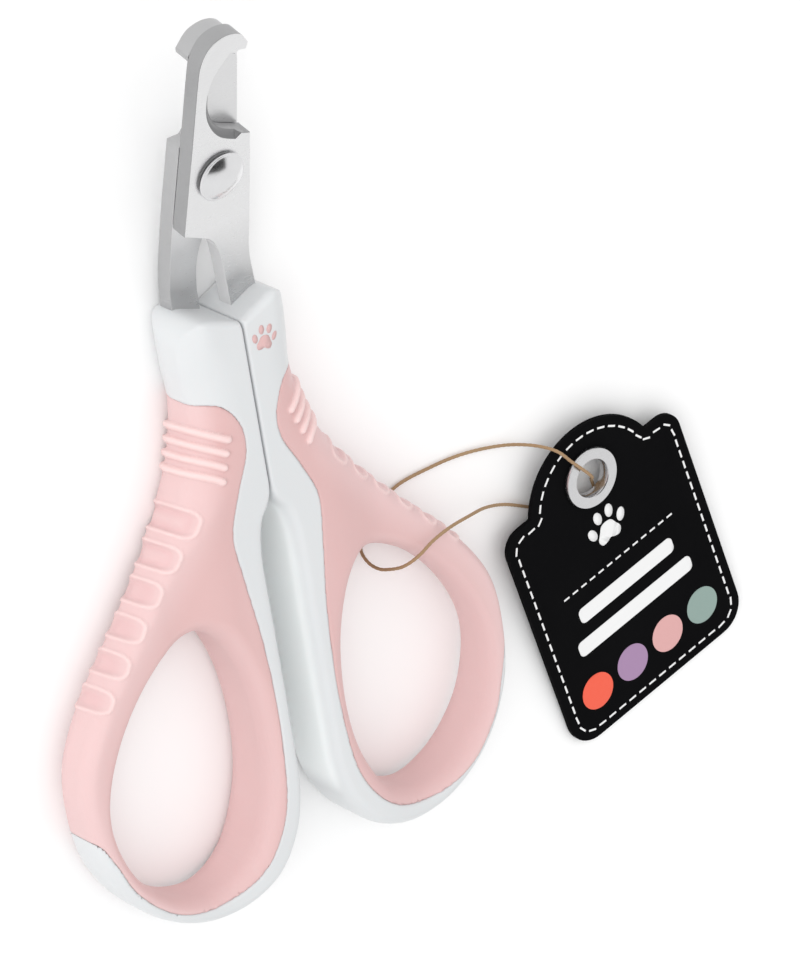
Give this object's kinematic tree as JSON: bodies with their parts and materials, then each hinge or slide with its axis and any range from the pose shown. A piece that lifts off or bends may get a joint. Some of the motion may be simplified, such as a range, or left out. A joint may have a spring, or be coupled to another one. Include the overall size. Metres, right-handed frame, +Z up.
{
  "type": "scissor nail clipper",
  "caption": "Scissor-style pet nail clipper with hooked steel blades, soft-grip finger loops and a swing tag on a string.",
  "frame": {"origin": "under the middle of the clipper's box, on the surface it lies on, without its tag", "axes": "+Y from the finger loops to the blade tips, +X towards the handle with the tag, +Z up from the face it lies on"},
  "size_m": [0.1234, 0.1416, 0.0199],
  "materials": {
    "blade_steel": "fine brushed",
    "rivet_steel": "polished",
    "white_plastic": "satin",
    "pink_grip": "soft matte",
    "tag_board": "printed, matte",
    "eyelet_steel": "polished",
    "kraft_string": "twisted twine"
  },
  "bodies": {
    "right_half": {"right_handle": "white_plastic", "right_grip": "pink_grip", "front_blade": "blade_steel", "pivot_rivet": "rivet_steel", "pivot_washer": "blade_steel", "rivet_collar": "blade_steel", "tag_card": "tag_board", "tag_eyelet": "eyelet_steel", "tag_eyelet_back": "eyelet_steel", "tag_string": "kraft_string", "string_knot": "kraft_string"},
    "left_half": {"left_handle": "white_plastic", "left_grip": "pink_grip", "back_blade": "blade_steel"}
  },
  "joints": [
    {"name": "pivot", "type": "hinge", "parent": "right_half", "child": "left_half", "pos_m": [0, 0.0441, 0.00986], "axis": [0, 0.309, -0.9511], "range_deg": [0, 32]}
  ]
}
